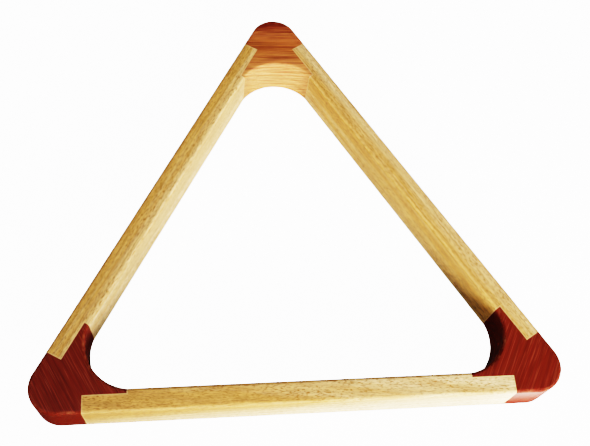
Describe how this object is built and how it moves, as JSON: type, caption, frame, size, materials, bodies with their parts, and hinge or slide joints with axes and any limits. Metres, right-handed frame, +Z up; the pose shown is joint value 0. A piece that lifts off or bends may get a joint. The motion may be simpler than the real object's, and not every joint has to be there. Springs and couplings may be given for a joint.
{
  "type": "triangle rack",
  "caption": "Flat triangular wooden frame that gathers pool balls into their starting triangle, with pale rails lapped and dowelled into dark rounded corner blocks.",
  "frame": {"origin": "middle of the frame's footprint box, on the underside that lies on the table", "axes": "+Z up, +X along the front rail to the right, +Y from the front rail towards the apex"},
  "size_m": [0.3602, 0.317, 0.033],
  "materials": {
    "rail_wood": "clear satin lacquer on straight-grained maple",
    "corner_wood": "clear satin lacquer on deep red padauk",
    "dowel_wood": "bare beech, sealed inside the joints"
  },
  "bodies": {
    "root": {"corner_block_apex": "corner_wood", "corner_block_front_left": "corner_wood", "corner_block_front_right": "corner_wood", "dowel_front_rail_left_lower": "dowel_wood", "dowel_front_rail_left_upper": "dowel_wood", "dowel_front_rail_right_lower": "dowel_wood", "dowel_front_rail_right_upper": "dowel_wood", "dowel_left_rail_apex_lower": "dowel_wood", "dowel_left_rail_apex_upper": "dowel_wood", "dowel_left_rail_front_lower": "dowel_wood", "dowel_left_rail_front_upper": "dowel_wood", "dowel_right_rail_apex_lower": "dowel_wood", "dowel_right_rail_apex_upper": "dowel_wood", "dowel_right_rail_front_lower": "dowel_wood", "dowel_right_rail_front_upper": "dowel_wood", "rail_front": "rail_wood", "rail_left": "rail_wood", "rail_right": "rail_wood"}
  },
  "joints": []
}
